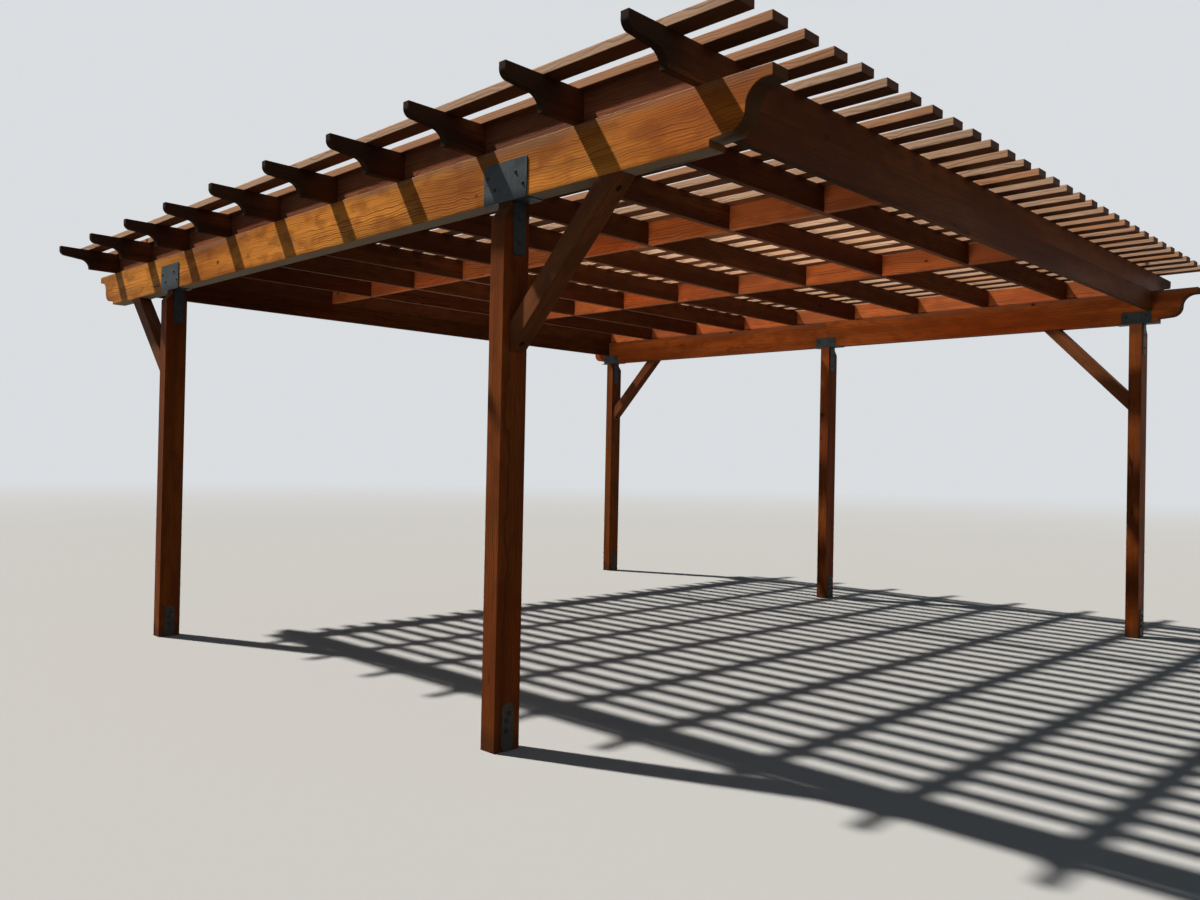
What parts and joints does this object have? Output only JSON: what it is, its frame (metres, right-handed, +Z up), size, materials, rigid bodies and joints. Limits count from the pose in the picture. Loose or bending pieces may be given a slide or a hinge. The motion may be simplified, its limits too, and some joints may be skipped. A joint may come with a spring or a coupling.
{
  "type": "timber pergola",
  "caption": "Free-standing stained timber pergola: ogee-ended beams on posts with steel caps and knee braces, shaped rafters and a roof of flat slats.",
  "frame": {"origin": "on the floor under the middle of the frame", "axes": "+X along the main beams, +Y from the front beam to the back beam, +Z up"},
  "size_m": [6.33, 6.322, 2.807],
  "materials": {
    "post_timber": "satin stain",
    "beam_timber": "satin stain",
    "rafter_timber": "satin stain",
    "blocking_timber": "satin stain",
    "slat_timber": "weathered stain",
    "brace_timber": "satin stain",
    "cap_steel": "dark weathered paint",
    "strap_steel": "dark weathered paint"
  },
  "bodies": {
    "root": {"post_front_left": "post_timber", "post_front_right": "post_timber", "post_back_left": "post_timber", "post_back_middle": "post_timber", "post_back_right": "post_timber", "base_straps_front_left": "strap_steel", "base_straps_front_right": "strap_steel", "base_straps_back_left": "strap_steel", "base_straps_back_middle": "strap_steel", "base_straps_back_right": "strap_steel", "cap_front_left": "cap_steel", "cap_front_right": "cap_steel", "cap_back_left": "cap_steel", "cap_back_middle": "cap_steel", "cap_back_right": "cap_steel", "beam_front": "beam_timber", "beam_back_left": "beam_timber", "beam_back_right": "beam_timber", "side_board_left": "rafter_timber", "side_board_right": "rafter_timber", "rafter_01": "rafter_timber", "rafter_02": "rafter_timber", "rafter_03": "rafter_timber", "rafter_04": "rafter_timber", "rafter_05": "rafter_timber", "rafter_06": "rafter_timber", "rafter_07": "rafter_timber", "rafter_08": "rafter_timber", "rafter_09": "rafter_timber", "rafter_10": "rafter_timber", "blocking_front": "blocking_timber", "blocking_inner_front": "blocking_timber", "blocking_inner_back": "blocking_timber", "blocking_back": "blocking_timber", "slats_1": "slat_timber", "slats_2": "slat_timber", "slats_3": "slat_timber", "slats_4": "slat_timber", "slats_5": "slat_timber", "slats_6": "slat_timber", "brace_front_left": "brace_timber", "brace_front_right": "brace_timber", "brace_back_left": "brace_timber", "brace_back_right": "brace_timber"}
  },
  "joints": []
}
